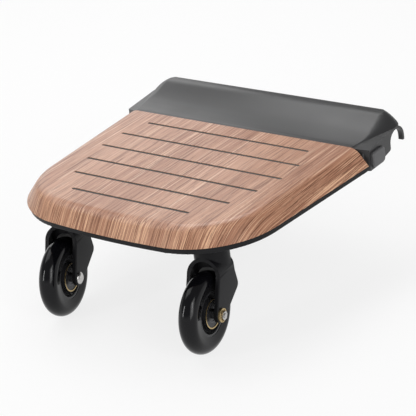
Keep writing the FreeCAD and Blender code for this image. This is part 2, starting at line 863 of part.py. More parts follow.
def cut_middle(body):
    """Hollows the ramp out between the two latch pockets and lets the tray's tongue in."""
    wall = s.housing_wall
    rear = seat_y + s.cavity_past_seat
    roof = channel_radius + wall
    inner = ramp_radius + wall
    step = rear - seat_y
    ceiling = deck_z + ramp_radius - root(inner * inner - s.ramp_run * s.ramp_run)
    below = housing_z - s.cut_overrun
    hollow = sketch_on(body, "hollow", "YZ_Plane")
    outline(hollow, [
        (pocket_front_y, below),
        (pocket_front_y, deck_z - wall),
        (seam_y + s.ramp_run, ceiling, inner),
        (rear, ceiling),
        (rear, seat_z + root(roof * roof - step * step)),
        (seat_y, seat_z + roof, roof),
        (pocket_rear_y, seat_z, roof),
        (pocket_rear_y, below),
    ])
    pocket(body, "inside", hollow, cavity_x * 2, middle=True)
    door = sketch_on(body, "door", "XY_Plane", housing_z)
    box_outline(door, -cavity_x, cavity_x, seam_y - s.cut_overrun, pocket_front_y + s.cut_overrun)
    pocket(body, "tongue_door", door, tray_z - housing_z, reverse=True)


def make_button(name, side):
    body = new_body(name + "_release_button")
    inner = plate_x - s.moving_gap
    middle = button_middle()
    half = (s.button_width / 2, s.button_height / 2)
    face = sketch_on(body, "face", "YZ_Plane", inner * side)
    round_box_outline(face, middle, half, s.button_corner)
    cap = pad(body, "cap", face, end_x - inner + s.button_proud, reverse=side < 0)
    outer = (end_x + s.button_proud).value * side
    fillet(body, "face_edge", cap, s.button_rounding,
           lambda edge: matches(edge.BoundBox.XMin, outer) and matches(edge.BoundBox.XMax, outer))
    ring = sketch_on(body, "ring", "YZ_Plane", inner * side)
    margin = s.flange_margin
    round_box_outline(ring, middle, (half[0] + margin, half[1] - s.moving_gap), s.button_corner)
    pad(body, "flange", ring, s.flange_thickness, reverse=side > 0)
    _, slide, lug = latch_levels()
    stem = sketch_on(body, "stem", "XY_Plane", slide + s.moving_gap)
    back = inner - s.flange_thickness
    tip = back - s.plunger_reach
    rear = middle[0] + s.plunger_width * PLUNGER_REAR_SHARE
    front = rear - s.plunger_width
    ratio = s.latch_travel / s.button_travel
    slope = (s.plunger_width * WEDGE_SHARE) / ratio
    outline(stem, [
        (back * side, rear),
        (tip * side, rear),
        (tip * side, front + slope * ratio),
        ((tip + slope) * side, front),
        (back * side, front),
    ])
    pad(body, "plunger", stem, lug - slide - s.moving_gap)
    return body


def make_latch(name, side):
    """The slide under the plunger, its lug with the wedge face, and the nose that holds the tube up."""
    body = new_body(name + "_latch_slide")
    low, slide, lug = latch_levels()
    near, far = latch_span()
    middle_y = button_middle()[0]
    back = plate_x - s.moving_gap - s.flange_thickness
    tip = back - s.plunger_reach
    rear = middle_y + s.plunger_width * PLUNGER_REAR_SHARE
    front = rear - s.plunger_width
    ratio = s.latch_travel / s.button_travel
    slope = (s.plunger_width * WEDGE_SHARE) / ratio
    gap = s.moving_gap * root(ratio * ratio + 1)
    lug_front = pocket_front_y + s.latch_travel + s.latch_front_gap
    clear = s.seat_radius + s.tube_gap

    def tube_y(height):
        drop = seat_z - height
        return seat_y - root(clear * clear - drop * drop)

    nose_z = low + s.latch_nose_height
    lip_z = low + s.latch_lip
    nose = sketch_on(body, "nose", "YZ_Plane", far * side)
    inside_y = pocket_rear_y - s.latch_travel - s.moving_gap
    outline(nose, [
        (lug_front, low),
        (lug_front, slide),
        (inside_y, slide),
        (inside_y, nose_z),
        (tube_y(nose_z), nose_z),
        (tube_y(lip_z), lip_z, clear),
        (tube_y(lip_z) - s.latch_lip, low),
    ])
    pad(body, "slide", nose, s.latch_width, reverse=side > 0)
    block = sketch_on(body, "block", "XY_Plane", slide)

    def wedge_y(x):
        return front + slope * ratio - (x - tip) * ratio - gap

    outline(block, [
        (near * side, lug_front),
        (far * side, lug_front),
        (far * side, wedge_y(far)),
        (tip * side, wedge_y(tip)),
        (near * side, wedge_y(tip)),
    ])
    pad(body, "lug", block, lug - slide)
    hole = sketch_on(body, "spring_hole", "XZ_Plane", -lug_front)
    circles(hole, [((near + s.spring_offset) * side, (slide + lug) / 2)],
            s.spring_radius + s.spring_wire / 2 + s.spring_play)
    pocket(body, "spring_pocket", hole, s.spring_pocket)
    return body


def make_spring(name, side):
    """A coil spring between the housing's front wall and the bottom of the latch's spring pocket."""
    _, slide, lug = latch_levels()
    near, _ = latch_span()
    rest = s.latch_travel + s.latch_front_gap + s.spring_pocket - s.spring_wire
    coil = doc.addObject("Part::Helix", name + "_spring_line")
    bind(coil, "Radius", s.spring_radius)
    bind(coil, "Pitch", rest / SPRING_TURNS)
    bind(coil, "Height", rest)
    section = doc.addObject("Part::RegularPolygon", name + "_spring_section")
    section.Polygon = SPRING_WIRE_SIDES
    bind(section, "Circumradius", s.spring_wire / 2)
    bind(section, "Placement.Base.x", s.spring_radius)
    section.Placement.Rotation = FreeCAD.Rotation(Vector(1, 0, 0), 90)
    spring = doc.addObject("Part::Sweep", name + "_latch_spring")
    spring.Sections = [section]
    spring.Spine = coil
    spring.Solid = True
    spring.Frenet = True
    spring.Placement.Rotation = FreeCAD.Rotation(Vector(1, 0, 0), -90)
    bind(spring, "Placement.Base.x", (near + s.spring_offset) * side)
    bind(spring, "Placement.Base.y", pocket_front_y + s.spring_wire / 2)
    bind(spring, "Placement.Base.z", (slide + lug) / 2)
    doc.recompute()
    return spring


def make_cover(name, side):
    body = new_body(name + "_latch_cover")
    gap = s.moving_gap
    plan = sketch_on(body, "plan", "XY_Plane", housing_z)
    left, right = sorted(((pocket_x + gap) * side, (plate_x - gap) * side), key=lambda size: size.value)
    box_outline(plan, left, right, pocket_front_y + gap, pocket_rear_y - gap)
    pad(body, "panel", plan, s.cover_thickness)
    holes = sketch_on(body, "holes", "XY_Plane", housing_z)
    circles(holes, cover_screw_places(side), s.cover_screw_radius + gap)
    pocket(body, "screw_holes", holes, s.cover_thickness, reverse=True)
    return body


def make_screws(label, places, sizes):
    """Identical screws, heads down, each a head and a shank."""
    seat, radius, length, head_radius, head_height = sizes
    body = new_body(label)
    heads = sketch_on(body, "heads", "XY_Plane", seat - head_height)
    circles(heads, places, head_radius)
    pad(body, "screw_heads", heads, head_height)
    shanks = sketch_on(body, "shanks", "XY_Plane", seat)
    circles(shanks, places, radius)
    pad(body, "screw_shanks", shanks, length)
    return body


def place_on_caster(item, name):
    """Turns a piece about the caster's stem and moves it from the wheel's centre to its place."""
    side = SIDES[name]
    turn = s.left_swivel if name == "left" else s.right_swivel
    item.Placement.Rotation = FreeCAD.Rotation(Vector(0, 0, 1), turn.value)
    bind(item, "Placement.Rotation.Angle", turn)
    bind(item, "Placement.Base.x", stem_x * side + s.trail * sine(turn))
    bind(item, "Placement.Base.y", stem_y - s.trail * cosine(turn))
    bind(item, "Placement.Base.z", s.wheel_diameter / 2)
    return item


def fork_side_view(sketch):
    """One cheek of the fork: straight front edge, round axle end, bulged back edge."""
    end = s.fork_end_radius
    middle_y = s.fork_end_shift
    front_turn, rear_turn = s.fork_front_lean, s.fork_rear_lean
    top = arch_z + s.arch_wall
    rear = s.trail + s.fork_rear_reach
    bulge = [(rear + end * out_share, end * up_share) for out_share, up_share in FORK_BULGE_SHARES]
    outline(sketch, [
        (middle_y - end * cosine(front_turn), end * sine(front_turn)),
        (middle_y + end * sine(rear_turn), -end * cosine(rear_turn), end),
        bulge[0],
        (*bulge[1], end * FORK_BULGE_BEND_SHARE),
        bulge[2],
        (rear, top),
        (s.fork_front_top, top),
        (s.fork_front_knee, top - s.fork_front_knee_drop),
    ])


def make_fork(name):
    """Two cheeks under a round arch, hollowed out round the wheel, with a post for the stem on top."""
    body = new_body(name + "_fork")
    half = s.fork_width / 2
    cheek = sketch_on(body, "cheek", "YZ_Plane")
    fork_side_view(cheek)
    cheeks = pad(body, "cheeks", cheek, s.fork_width, middle=True)
    soft_cheek_edges(body, cheeks)
    arch = sketch_on(body, "arch", "XZ_Plane")
    over = s.cut_overrun
    top = arch_z + s.arch_wall
    outline(arch, [
        (half + over, top - half),
        (half + over, top + over),
        (-half - over, top + over),
        (-half - over, top - half),
        (-half, top - half),
        (ZERO, top, -half),
        (half, top - half, -half),
    ])
    pocket(body, "shoulders", arch, s.wheel_diameter * 2, middle=True)
    crown = sketch_on(body, "crown", "XY_Plane", top - half)
    circles(crown, [(ZERO, s.trail)], s.crown_radius)
    pad(body, "crown_post", crown, crown_z - top + half)
    mouth = sketch_on(body, "mouth", "XZ_Plane", -s.arch_depth)
    arch_outline(mouth, arch_z)
    pocket(body, "front_arch", mouth, s.wheel_diameter, reverse=True)
    well = sketch_on(body, "well", "XY_Plane")
    arch_outline(well, s.wheel_diameter / 2 + s.wheel_gap)
    revolve(body, "wheel_well", well, "H_Axis", kind="Groove")
    axle = sketch_on(body, "axle", "YZ_Plane")
    circles(axle, [(ZERO, ZERO)], s.axle_radius + s.running_clearance)
    pocket(body, "axle_hole", axle, s.fork_width * 2, middle=True)
    seat = sketch_on(body, "seat", "XY_Plane", crown_z)
    circles(seat, [(ZERO, s.trail)], s.stem_radius + s.running_clearance)
    pocket(body, "stem_seat", seat, s.stem_seat)
    return place_on_caster(body, name)


def arch_outline(sketch, height):
    """The space between the fork's legs: straight sides under a half-round top."""
    gap = s.fork_gap / 2
    outline(sketch, [
        (-gap, ZERO),
        (gap, ZERO),
        (gap, height - gap),
        (ZERO, height, gap),
        (-gap, height - gap, gap),
    ])


def soft_cheek_edges(body, cheeks):
    """Rounds the outline of both outer faces of the fork."""
    half = s.fork_width / 2

    def wanted(edge):
        box = edge.BoundBox
        return matches(box.XLength, 0) and matches(abs(box.XMax), half.value)

    body.Tip = fillet(body, "cheek_edges", cheeks, s.cheek_rounding, wanted)


def make_tyre(name):
    body = new_body(name + "_tyre")
    profile = sketch_on(body, "profile", "XY_Plane")
    half = s.wheel_width / 2
    top = s.wheel_diameter / 2
    foot = s.tyre_foot_width / 2
    outline(profile, [
        (-foot, s.tyre_bore / 2),
        (foot, s.tyre_bore / 2),
        (half, top - half),
        (ZERO, top, half),
        (-half, top - half, half),
    ])
    revolve(body, "tread", profile, "H_Axis")
    return place_on_caster(body, name)


def make_hub(name):
    body = new_body(name + "_hub")
    rim_outer = s.tyre_bore / 2
    rim_inner = rim_outer - s.hub_rim_wall
    rim = sketch_on(body, "rim_profile", "XY_Plane")
    box_outline(rim, -s.hub_rim_width / 2, s.hub_rim_width / 2, rim_inner, rim_outer)
    revolve(body, "rim", rim, "H_Axis")
    boss = sketch_on(body, "boss_profile", "XY_Plane")
    half = s.hub_boss_width / 2
    seat = half - s.bearing_width
    throat = s.bearing_radius - s.bearing_race
    outline(boss, [
        (-half, s.bearing_radius),
        (-seat, s.bearing_radius),
        (-seat, throat),
        (seat, throat),
        (seat, s.bearing_radius),
        (half, s.bearing_radius),
        (half, s.hub_boss_radius),
        (-half, s.hub_boss_radius),
    ])
    revolve(body, "boss", boss, "H_Axis")
    spoke = sketch_on(body, "spoke_profile", "YZ_Plane")
    thick = s.spoke_thickness / 2
    bite = s.spoke_bite
    box_outline(spoke, -thick, thick, s.hub_boss_radius - bite, rim_inner + bite)
    arm = pad(body, "spoke", spoke, s.spoke_width, middle=True)
    before = volume_of(body)
    ring = body.newObject("PartDesign::PolarPattern", body.Name + "_spokes")
    ring.Originals = [arm]
    ring.Axis = (spoke, ["N_Axis"])
    ring.Angle = 360
    ring.Occurrences = SPOKE_COUNT
    body.Tip = ring
    settle(body, ring, before, True)
    return place_on_caster(body, name)


def make_hub_rings(name):
    """A thin plated ring at the edge of each face of the hub."""
    body = new_body(name + "_hub_rings")
    profile = sketch_on(body, "profile", "XY_Plane")
    face = s.hub_boss_width / 2
    lip = face + s.hub_ring_thickness
    inner = s.hub_boss_radius - s.hub_ring_width
    for left, right in ((-lip, -face), (face, lip)):
        box_outline(profile, left, right, inner, s.hub_boss_radius)
    revolve(body, "rings", profile, "H_Axis")
    return place_on_caster(body, name)


def make_bearings(name):
    body = new_body(name + "_wheel_bearings")
    profile = sketch_on(body, "profile", "XY_Plane")
    outer_face = s.hub_boss_width / 2
    inner_face = outer_face - s.bearing_width
    groove = outer_face - s.bearing_groove
    bore = s.axle_radius + s.running_clearance
    for side in SIDES.values():
        outline(profile, [
            (inner_face * side, bore),
            (outer_face * side, bore),
            (outer_face * side, s.spacer_radius),
            (groove * side, s.spacer_radius),
            (groove * side, s.bearing_radius - s.bearing_race),
            (outer_face * side, s.bearing_radius - s.bearing_race),
            (outer_face * side, s.bearing_radius),
            (inner_face * side, s.bearing_radius),
        ])
    revolve(body, "rings", profile, "H_Axis")
    return place_on_caster(body, name)


def make_spacers(name):
    body = new_body(name + "_axle_spacers")
    profile = sketch_on(body, "profile", "XY_Plane")
    bore = s.axle_radius + s.running_clearance
    face = s.hub_boss_width / 2
    inner = face - s.bearing_width - s.race_gap
    spans = ((-inner, inner), (face + s.race_gap, s.fork_gap / 2), (-s.fork_gap / 2, -face - s.race_gap))
    for left, right in spans:
        box_outline(profile, left, right, bore, s.spacer_radius)
    revolve(body, "sleeves", profile, "H_Axis")
    return place_on_caster(body, name)


def make_axle_bolt(name):
    """Domed head on the inner side of the caster, shank through both legs, thread on the outer side."""
    body = new_body(name + "_axle_bolt")
    profile = sketch_on(body, "profile", "XY_Plane")
    out = SIDES[name]
    leg = s.fork_width / 2
    thread_end = leg + s.cup_thickness + s.nut_height + s.thread_tip
    edge = s.bolt_head_edge
    dome = s.bolt_head_height - edge
    bend = (s.bolt_head_radius * s.bolt_head_radius + dome * dome) / (dome * 2)
    outline(profile, [
        (-(leg + s.bolt_head_height) * out, ZERO),
        (-(leg + edge) * out, s.bolt_head_radius, -bend if out > 0 else bend),
        (-leg * out, s.bolt_head_radius),
        (-leg * out, s.axle_radius),
        (leg * out, s.axle_radius),
        (leg * out, s.axle_thread_radius),
        (thread_end * out, s.axle_thread_radius),
        (thread_end * out, ZERO),
    ])
    revolve(body, "turned", profile, "H_Axis")
    return place_on_caster(body, name)


def make_cup_washer(name):
    body = new_body(name + "_cup_washer")
    profile = sketch_on(body, "profile", "XY_Plane")
    out = SIDES[name]
    leg = s.fork_width / 2
    face = leg + s.cup_thickness
    lip = face + s.cup_lip
    inner = s.cup_radius - s.cup_thickness
    bore = s.axle_thread_radius + s.running_clearance
    outline(profile, [
        (leg * out, bore),
        (face * out, bore),
        (face * out, inner),
        (lip * out, inner),
        (lip * out, s.cup_radius),
        (leg * out, s.cup_radius),
    ])
    revolve(body, "pressed", profile, "H_Axis")
    return place_on_caster(body, name)


def make_nut(name):
    body = new_body(name + "_axle_nut")
    out = SIDES[name]
    corner = s.nut_flats / root(as_size(3))
    flat = s.nut_flats / 2
    face = s.fork_width / 2 + s.cup_thickness
    hexagon = sketch_on(body, "hexagon", "YZ_Plane", face * out)
    outline(hexagon, [
        (corner, ZERO),
        (corner / 2, flat),
        (-corner / 2, flat),
        (-corner, ZERO),
        (-corner / 2, -flat),
        (corner / 2, -flat),
    ])
    pad(body, "prism", hexagon, s.nut_height, reverse=out < 0)
    thread = sketch_on(body, "thread", "YZ_Plane", face * out)
    circles(thread, [(ZERO, ZERO)], s.axle_thread_radius + s.running_clearance)
    pocket(body, "bore", thread, s.nut_height, reverse=out > 0)
    return place_on_caster(body, name)


def stem_levels():
    """Foot and top of the stem and underside of its clip, above the wheel's centre."""
    lift = s.wheel_diameter / 2
    foot = crown_z - s.stem_seat
    clip = tower_z - lift + s.moving_gap
    return foot, clip, clip + s.clip_thickness + s.stem_tip


def make_stem(name):
    body = new_body(name + "_caster_stem")
    foot, clip, top = stem_levels()
    neck = s.stem_radius - s.clip_groove
    profile = sketch_on(body, "profile", "XZ_Plane", -s.trail)
    outline(profile, [
        (ZERO, foot),
        (s.stem_radius, foot),
        (s.stem_radius, clip),
        (neck, clip),
        (neck, clip + s.clip_thickness),
        (s.stem_radius, clip + s.clip_thickness),
        (s.stem_radius, top),
        (ZERO, top),
    ])
    revolve(body, "turned", profile, "V_Axis")
    return place_on_caster(body, name)


def make_ring(name, label, low, high, inner, outer):
    """A plain ring round the caster's stem."""
    body = new_body(name + "_" + label)
    profile = sketch_on(body, "profile", "XZ_Plane", -s.trail)
    box_outline(profile, inner, outer, low, high)
    revolve(body, "turned", profile, "V_Axis")
    return place_on_caster(body, name)


def make_stem_rings(name):
    lift = s.wheel_diameter / 2
    _, clip, _ = stem_levels()
    bore = s.stem_radius + s.running_clearance
    neck = s.stem_radius - s.clip_groove + s.running_clearance
    return [
        make_ring(name, "swivel_bush", socket_z - lift, tower_z - lift, bore, s.bush_radius),
        make_ring(name, "thrust_washer", crown_z, crown_z + s.thrust_thickness, bore, s.thrust_radius),
        make_ring(name, "stem_clip", clip, clip + s.clip_thickness, neck, s.clip_radius),
    ]


def make_side(name, side):
    return [
        make_button(name, side),
        make_latch(name, side),
        make_spring(name, side),
        make_cover(name, side),
        make_fork(name),
        make_tyre(name),
        make_hub(name),
        make_hub_rings(name),
        make_bearings(name),
        make_spacers(name),
        make_axle_bolt(name),
        make_cup_washer(name),
        make_nut(name),
        make_stem(name),
        *make_stem_rings(name),
    ]


def make_all():
    tray_screw = (plate_z, s.screw_radius, s.tray_wall + s.screw_grip,
                  s.screw_head_radius, s.screw_head_height)
    cover_screw = (housing_z, s.cover_screw_radius, s.cover_screw_length,
                   s.cover_screw_head_radius, s.cover_screw_head_height)
    pieces = [make_deck(), make_strips(), make_tray(), make_housing()]
    pieces.append(make_screws("tray_screws", deck_screws + housing_screws, tray_screw))
    pieces.append(make_screws("cover_screws", all_cover_screws(), cover_screw))
    for name, side in SIDES.items():
        pieces.extend(make_side(name, side))
    return pieces


def check(pieces):
    doc.recompute()
    for item in doc.Objects:
        if "Invalid" in item.State or "Error" in item.State:
            raise RuntimeError("%s is %s" % (item.Label, item.State))
    for piece in pieces:
        if piece.Shape.isNull() or not piece.Shape.isValid():
            raise RuntimeError(piece.Label + " has no valid shape")


def write(pieces):
    os.makedirs("parts", exist_ok=True)
    for piece in pieces:
        piece.Shape.exportStep(os.path.join("parts", piece.Label + ".step"))
        print("%-24s %2d solids %10.1f mm3" % (piece.Label, len(piece.Shape.Solids), piece.Shape.Volume))


pieces = make_all()
check(pieces)
write(pieces)
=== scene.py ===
import json
import math

import bpy
from mathutils import Matrix, Vector


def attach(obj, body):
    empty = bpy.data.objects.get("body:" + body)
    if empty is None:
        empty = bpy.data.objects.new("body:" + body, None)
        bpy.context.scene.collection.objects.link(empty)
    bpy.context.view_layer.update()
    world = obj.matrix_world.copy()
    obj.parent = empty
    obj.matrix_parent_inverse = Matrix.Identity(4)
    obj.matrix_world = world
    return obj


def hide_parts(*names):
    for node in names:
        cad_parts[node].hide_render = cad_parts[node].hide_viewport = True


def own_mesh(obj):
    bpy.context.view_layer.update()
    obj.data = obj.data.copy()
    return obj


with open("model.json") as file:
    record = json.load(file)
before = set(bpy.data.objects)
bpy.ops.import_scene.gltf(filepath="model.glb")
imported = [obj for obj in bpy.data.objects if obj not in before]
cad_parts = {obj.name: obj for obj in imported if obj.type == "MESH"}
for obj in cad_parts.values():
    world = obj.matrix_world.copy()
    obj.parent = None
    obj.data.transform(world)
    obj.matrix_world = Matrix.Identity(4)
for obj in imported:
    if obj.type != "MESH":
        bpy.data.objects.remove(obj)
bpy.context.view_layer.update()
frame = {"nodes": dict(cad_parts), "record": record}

nodes = frame["nodes"]
scene = bpy.context.scene

# Lengths in metres
DECK_TOP = 0.1623
FLOOR_REACH = 6.0
WELD_DISTANCE = 0.00001

# Edges sharper than this stay creased
CREASE_ANGLE = math.radians(24.0)

# The photograph's camera, found by fitting edges of the board
CAMERA_PLACE = (1.3053, -1.5168, 1.0404)
CAMERA_RIGHT = Vector((0.79446, 0.59393, -0.12678))
CAMERA_UP = Vector((-0.16680, 0.41412, 0.89481))
LENS_MM = 152.34
SENSOR_MM = 36.0
LENS_SHIFT = (-0.0006, 0.0042)
VIEW_END = 20.0

# Layers of the deck's grain: repeats per metre across and along, detail, roughness, distortion
GRAIN = {
    "wide": (26.0, 3.0, 4.0, 0.6, 0.6),
    "band": (140.0, 7.0, 4.0, 0.65, 0.8),
    "hair_top": (470.0, 11.0, 3.0, 0.65, 0.5),
    "hair_side": (1100.0, 16.0, 3.0, 0.65, 0.5),
    "line_top": (500.0, 7.0, 2.0, 0.60, 0.6),
    "line_side": (1150.0, 10.0, 2.0, 0.60, 0.6),
    "bundle": (60.0, 3.0, 2.0, 0.5, 0.5),
    "pore": (900.0, 90.0, 2.0, 0.6, 0.1),
}
WOOD_STOPS = [
    (0.32, (0.338, 0.153, 0.088)),
    (0.50, (0.420, 0.208, 0.125)),
    (0.68, (0.500, 0.270, 0.173)),
]
BAND_BROWN = (0.275, 0.118, 0.066)
HAIR_BROWN = (0.150, 0.056, 0.029)
PORE_BROWN = (0.160, 0.070, 0.040)
# The top's pale lines are paler and greyer than the skirt's, a painted sheen
LINE_TOP_TAN_WITH_SHEEN = (0.730, 0.490, 0.350)
LINE_SIDE_TAN = (0.700, 0.425, 0.270)

# The grain shifts sideways by this share of the drop below the deck's top
FOLD_SHARE = 0.35
# Tilt at which the skirt's finer print, bolder grain and lighter lines begin and at which they are full; the
# bolder grain and lighter lines are painted, standing for the sheen on the top and the light on the skirt
SKIRT_TILT = (0.03, 0.20)
# Strength of the grain on top, kept weaker as a painted sheen, what the skirt adds to it, and what the skirt
# adds to its pale lines as painted light
TOP_STRENGTH_UNDER_SHEEN = 0.72
SKIRT_STRENGTH = 0.85
SKIRT_LINES_PAINTED_LIGHT = 0.024

# Repeats per metre of turning marks on metal
TURNING_MARKS = (60.0, 900.0, 900.0)

# The mix node's sockets for colours
MIX_FACTOR, MIX_FIRST, MIX_SECOND, MIX_RESULT = 0, 6, 7, 2

# Floor and surround
FLOOR_COLOUR = (0.80, 0.80, 0.80, 1.0)
FLOOR_WHITE_SHARE = 0.80
WHITE = (1.0, 1.0, 1.0, 1.0)
FILL_STRENGTH = 0.34
# The surround is white up to the first of these directions' heights and grey above the second
HORIZON = (0.12, 0.30)

# Lamps: name, place, target, size in metres, power in watts
LAMPS = [
    ("top_box", (-1.1, -0.3, 2.1), (0.0, 0.0, 0.1), (1.6, 1.6), 16.0),
    ("key_box", (-0.50, 0.70, 1.70), (0.0, 0.1, 0.15), (1.0, 1.0), 13.0),
    ("back_card", (-1.95, 1.4, 1.15), (0.0, 0.0, 0.1), (1.5, 1.2), 8.5),
    ("left_strip", (-0.75, -1.75, 0.80), (0.0, -0.1, 0.08), (0.24, 0.85), 8.5),
    ("right_card", (1.9, -0.75, 0.80), (0.1, -0.1, 0.08), (1.1, 1.5), 16.0),
    ("right_strip", (1.80, -0.71, 0.86), (0.1, -0.1, 0.08), (0.15, 0.85), 4.0),
]


def new_material(name):
    """A new material, its node tree and its shader."""
    mat = bpy.data.materials.new(name)
    mat.use_nodes = True
    tree = mat.node_tree
    return mat, tree, tree.nodes["Principled BSDF"]


def set_inputs(node, values):
    """Puts values on a node's own sockets."""
    for key, value in values.items():
        node.inputs[key].default_value = value


def add(tree, kind, inputs=None, **settings):
    """A new node with its settings and the values of its sockets."""
    node = tree.nodes.new(kind)
    for key, value in settings.items():
        setattr(node, key, value)
    set_inputs(node, inputs or {})
    return node


def maths(tree, operation, first, second=None):
    """One calculation on numbers or sockets."""
    node = add(tree, "ShaderNodeMath", operation=operation)
    for socket, value in zip(node.inputs, (first, second)):
        if isinstance(value, float):
            socket.default_value = value
        elif value is not None:
            tree.links.new(value, socket)
    return node.outputs[0]


def product(tree, first, second):
    return maths(tree, "MULTIPLY", first, second)


def blend(tree, factor, first, second):
    """A value between two others."""
    step = product(tree, factor, maths(tree, "SUBTRACT", second, first))
    return maths(tree, "ADD", first, step)


def scaled(tree, source, low, high, from_low=0.3, from_high=0.7):
    """A value brought from one range to another, and kept inside it."""
    node = add(tree, "ShaderNodeMapRange", {
        "From Min": from_low, "From Max": from_high, "To Min": low, "To Max": high,
    })
    tree.links.new(source, node.inputs["Value"])
    return node.outputs[0]


def own_space(tree):
    """Coordinates in metres of the part's own frame."""
    return add(tree, "ShaderNodeTexCoord").outputs["Object"]


def stretched(tree, source, scale):
    """Coordinates with each axis multiplied by its scale."""
    mapping = add(tree, "ShaderNodeMapping", {"Scale": scale})
    tree.links.new(source, mapping.inputs["Vector"])
    return mapping.outputs["Vector"]


def noise(tree, source, scale, detail, rough, distortion=0.0):
    node = add(tree, "ShaderNodeTexNoise", {
        "Scale": scale, "Detail": detail, "Roughness": rough, "Distortion": distortion,
    })
    tree.links.new(source, node.inputs["Vector"])
    return node.outputs["Fac"]


def ramp(tree, source, stops):
    """A colour that follows a value along the stops."""
    node = add(tree, "ShaderNodeValToRGB")
    elements = node.color_ramp.elements
    while len(elements) < len(stops):
        elements.new(0.5)
    for element, (place, colour) in zip(elements, stops):
        element.position = place
        element.color = (*colour, 1.0)
    tree.links.new(source, node.inputs["Fac"])
    return node.outputs["Color"]


def mix(tree, factor, first, second):
    """A colour between two colours, each given as numbers or as a socket."""
    node = add(tree, "ShaderNodeMix", data_type="RGBA")
    tree.links.new(factor, node.inputs[MIX_FACTOR])
    for place, value in ((MIX_FIRST, first), (MIX_SECOND, second)):
        if isinstance(value, bpy.types.NodeSocket):
            tree.links.new(value, node.inputs[place])
        else:
            node.inputs[place].default_value = (*value, 1.0)
    return node.outputs[MIX_RESULT]


def bump(tree, shader, height, strength, distance):
    node = add(tree, "ShaderNodeBump", {"Strength": strength, "Distance": distance})
    tree.links.new(height, node.inputs["Height"])
    tree.links.new(node.outputs["Normal"], shader.inputs["Normal"])


def wrapped_space(tree):
    """The deck's coordinates with the print folded down over the two long sides, and how steep it is."""
    coords = add(tree, "ShaderNodeTexCoord")
    place = add(tree, "ShaderNodeSeparateXYZ")
    facing = add(tree, "ShaderNodeSeparateXYZ")
    tree.links.new(coords.outputs["Object"], place.inputs[0])
    tree.links.new(coords.outputs["Normal"], facing.inputs[0])
    across, along, upward = facing.outputs
    side = product(tree, across, maths(tree, "ABSOLUTE", across))
    front = product(tree, along, along)
    level = maths(tree, "ADD", maths(tree, "ADD", maths(tree, "ABSOLUTE", side), front), 0.02)
    drop = product(tree, maths(tree, "SUBTRACT", DECK_TOP, place.outputs["Z"]), FOLD_SHARE)
    fold = product(tree, maths(tree, "DIVIDE", side, level), drop)
    joined = add(tree, "ShaderNodeCombineXYZ")
    tree.links.new(maths(tree, "ADD", place.outputs["X"], fold), joined.inputs["X"])
    tree.links.new(place.outputs["Y"], joined.inputs["Y"])
    tree.links.new(place.outputs["Z"], joined.inputs["Z"])
    tilt = maths(tree, "SUBTRACT", 1.0, maths(tree, "ABSOLUTE", upward))
    return joined.outputs[0], scaled(tree, tilt, 0.0, 1.0, *SKIRT_TILT)


def wood_print():
    """Printed walnut grain along Y under a satin coat, finer on the skirt; a painted sheen makes it weaker
    and paler on top, and painted light makes the skirt's pale lines stronger.
    """
    mat, tree, shader = new_material("wood_look_deck")
    space, steep = wrapped_space(tree)
    layer = {}
    for key, (across, along, detail, rough, distortion) in GRAIN.items():
        grain = stretched(tree, space, (across, along, along))
        layer[key] = noise(tree, grain, 1.0, detail, rough, distortion)
    # Painted sheen: the grain is weaker on the top than on the skirt, as a sheen washes it out
    bold = maths(tree, "ADD", product(tree, steep, SKIRT_STRENGTH), TOP_STRENGTH_UNDER_SHEEN)

    base = ramp(tree, layer["wide"], WOOD_STOPS)
    bands = product(tree, scaled(tree, layer["band"], 0.0, 0.46, 0.46, 0.64), bold)
    banded = mix(tree, bands, base, BAND_BROWN)

    hair = blend(tree, steep, layer["hair_top"], layer["hair_side"])
    streaks = product(tree, scaled(tree, hair, 0.0, 0.9, 0.50, 0.61), bold)
    dark = mix(tree, streaks, banded, HAIR_BROWN)

    bunched = product(tree, scaled(tree, layer["bundle"], 0.35, 1.0, 0.40, 0.60), bold)
    bright = blend(tree, steep, layer["line_top"], layer["line_side"])
    # Painted light: the skirt's pale lines are raised to make the skirt lighter
    bright = maths(tree, "ADD", bright, product(tree, steep, SKIRT_LINES_PAINTED_LIGHT))
    lines = product(tree, scaled(tree, bright, 0.0, 0.9, 0.53, 0.62), bunched)
    # Painted sheen: the top's pale lines take a paler, greyer tan
    pale = mix(tree, lines, dark, mix(tree, steep, LINE_TOP_TAN_WITH_SHEEN, LINE_SIDE_TAN))

    pores = scaled(tree, layer["pore"], 0.0, 0.50, 0.57, 0.72)
    tree.links.new(mix(tree, pores, pale, PORE_BROWN), shader.inputs["Base Color"])
    tree.links.new(scaled(tree, layer["hair_top"], 0.34, 0.46), shader.inputs["Roughness"])
    set_inputs(shader, {"Specular IOR Level": 0.30, "Coat Weight": 0.28, "Coat Roughness": 0.18})
    bump(tree, shader, layer["hair_top"], 0.10, 0.0003)
    return mat


def moulded(name, colour, roughness, grain, depth, spread=0.10, coat=0.0, gloss=0.35):
    """Moulded plastic or rubber with a fine grain and faint flow clouds."""
    mat, tree, shader = new_material(name)
    space = own_space(tree)
    cloud = noise(tree, space, 14.0, 4.0, 0.55)
    speck = noise(tree, space, grain, 2.0, 0.6)
    tint = ramp(tree, cloud, [
        (0.35, tuple(c * (1.0 - spread) for c in colour)),
        (0.65, tuple(c * (1.0 + spread) for c in colour)),
    ])
    tree.links.new(tint, shader.inputs["Base Color"])
    uneven = scaled(tree, cloud, roughness - 0.04, roughness + 0.04)
    tree.links.new(uneven, shader.inputs["Roughness"])
    set_inputs(shader, {"Specular IOR Level": gloss, "Coat Weight": coat, "Coat Roughness": 0.12})
    bump(tree, shader, speck, depth, 0.00015)
    return mat


